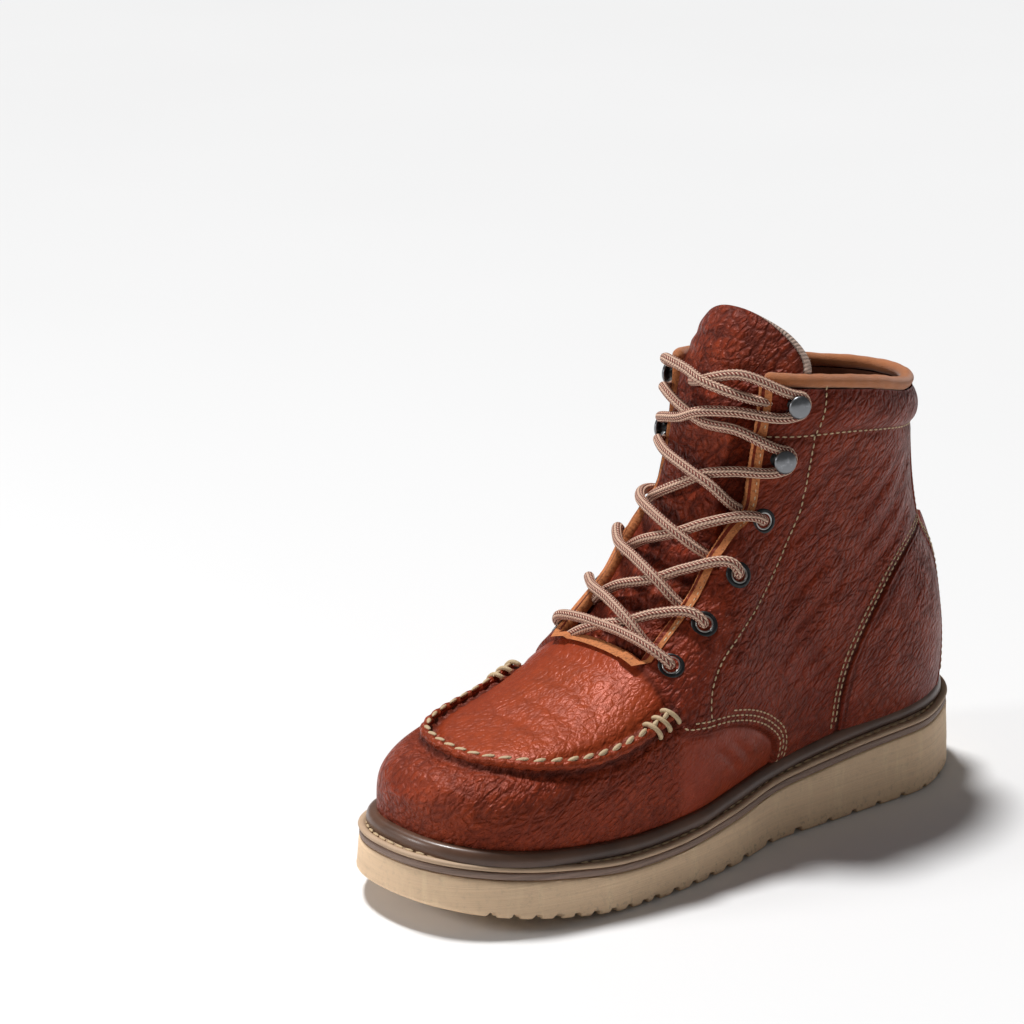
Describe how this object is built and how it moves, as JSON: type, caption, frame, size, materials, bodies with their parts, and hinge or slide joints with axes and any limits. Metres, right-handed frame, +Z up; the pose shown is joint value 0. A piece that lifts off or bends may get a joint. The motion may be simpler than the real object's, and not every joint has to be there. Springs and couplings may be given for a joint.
{
  "type": "work boot",
  "caption": "Ankle-high laced leather work boot with a moc toe, padded collar and wedge rubber sole, left foot.",
  "frame": {"origin": "on the floor, under the middle of the sole's length, on the line through the heel's middle", "axes": "+X from heel to toe, +Y towards the foot's outer side, +Z up"},
  "size_m": [0.3092, 0.1106, 0.2203],
  "materials": {
    "leather": "reddish brown full-grain, tumbled and glossy",
    "suede": "orange tan suede binding",
    "rubber": "cream tan rubber, finely brushed, matt",
    "midsole": "grey pink layered rubber, matt",
    "welt": "light tan, stitched, matt",
    "rand": "dark brown, satin",
    "lining": "tan lining cloth",
    "metal": "gunmetal, satin",
    "lace": "round braided lace, cream and rust"
  },
  "bodies": {
    "root": {"outsole": "rubber", "midsole": "midsole", "welt": "welt", "rand": "rand", "insole": "lining", "upper": "leather", "back_strip": "leather", "counter_outer": "leather", "counter_inner": "leather", "moc_seam": "leather", "tongue": "leather", "collar_binding": "suede", "eyelet_outer_1": "metal", "eyelet_outer_2": "metal", "eyelet_outer_3": "metal", "eyelet_outer_4": "metal", "eyelet_inner_1": "metal", "eyelet_inner_2": "metal", "eyelet_inner_3": "metal", "eyelet_inner_4": "metal", "hook_outer_5": "metal", "hook_outer_6": "metal", "hook_inner_5": "metal", "hook_inner_6": "metal", "lace_bar": "lace", "lace_crossing_1": "lace", "lace_crossing_2": "lace", "lace_crossing_3": "lace", "lace_top": "lace"}
  },
  "joints": []
}
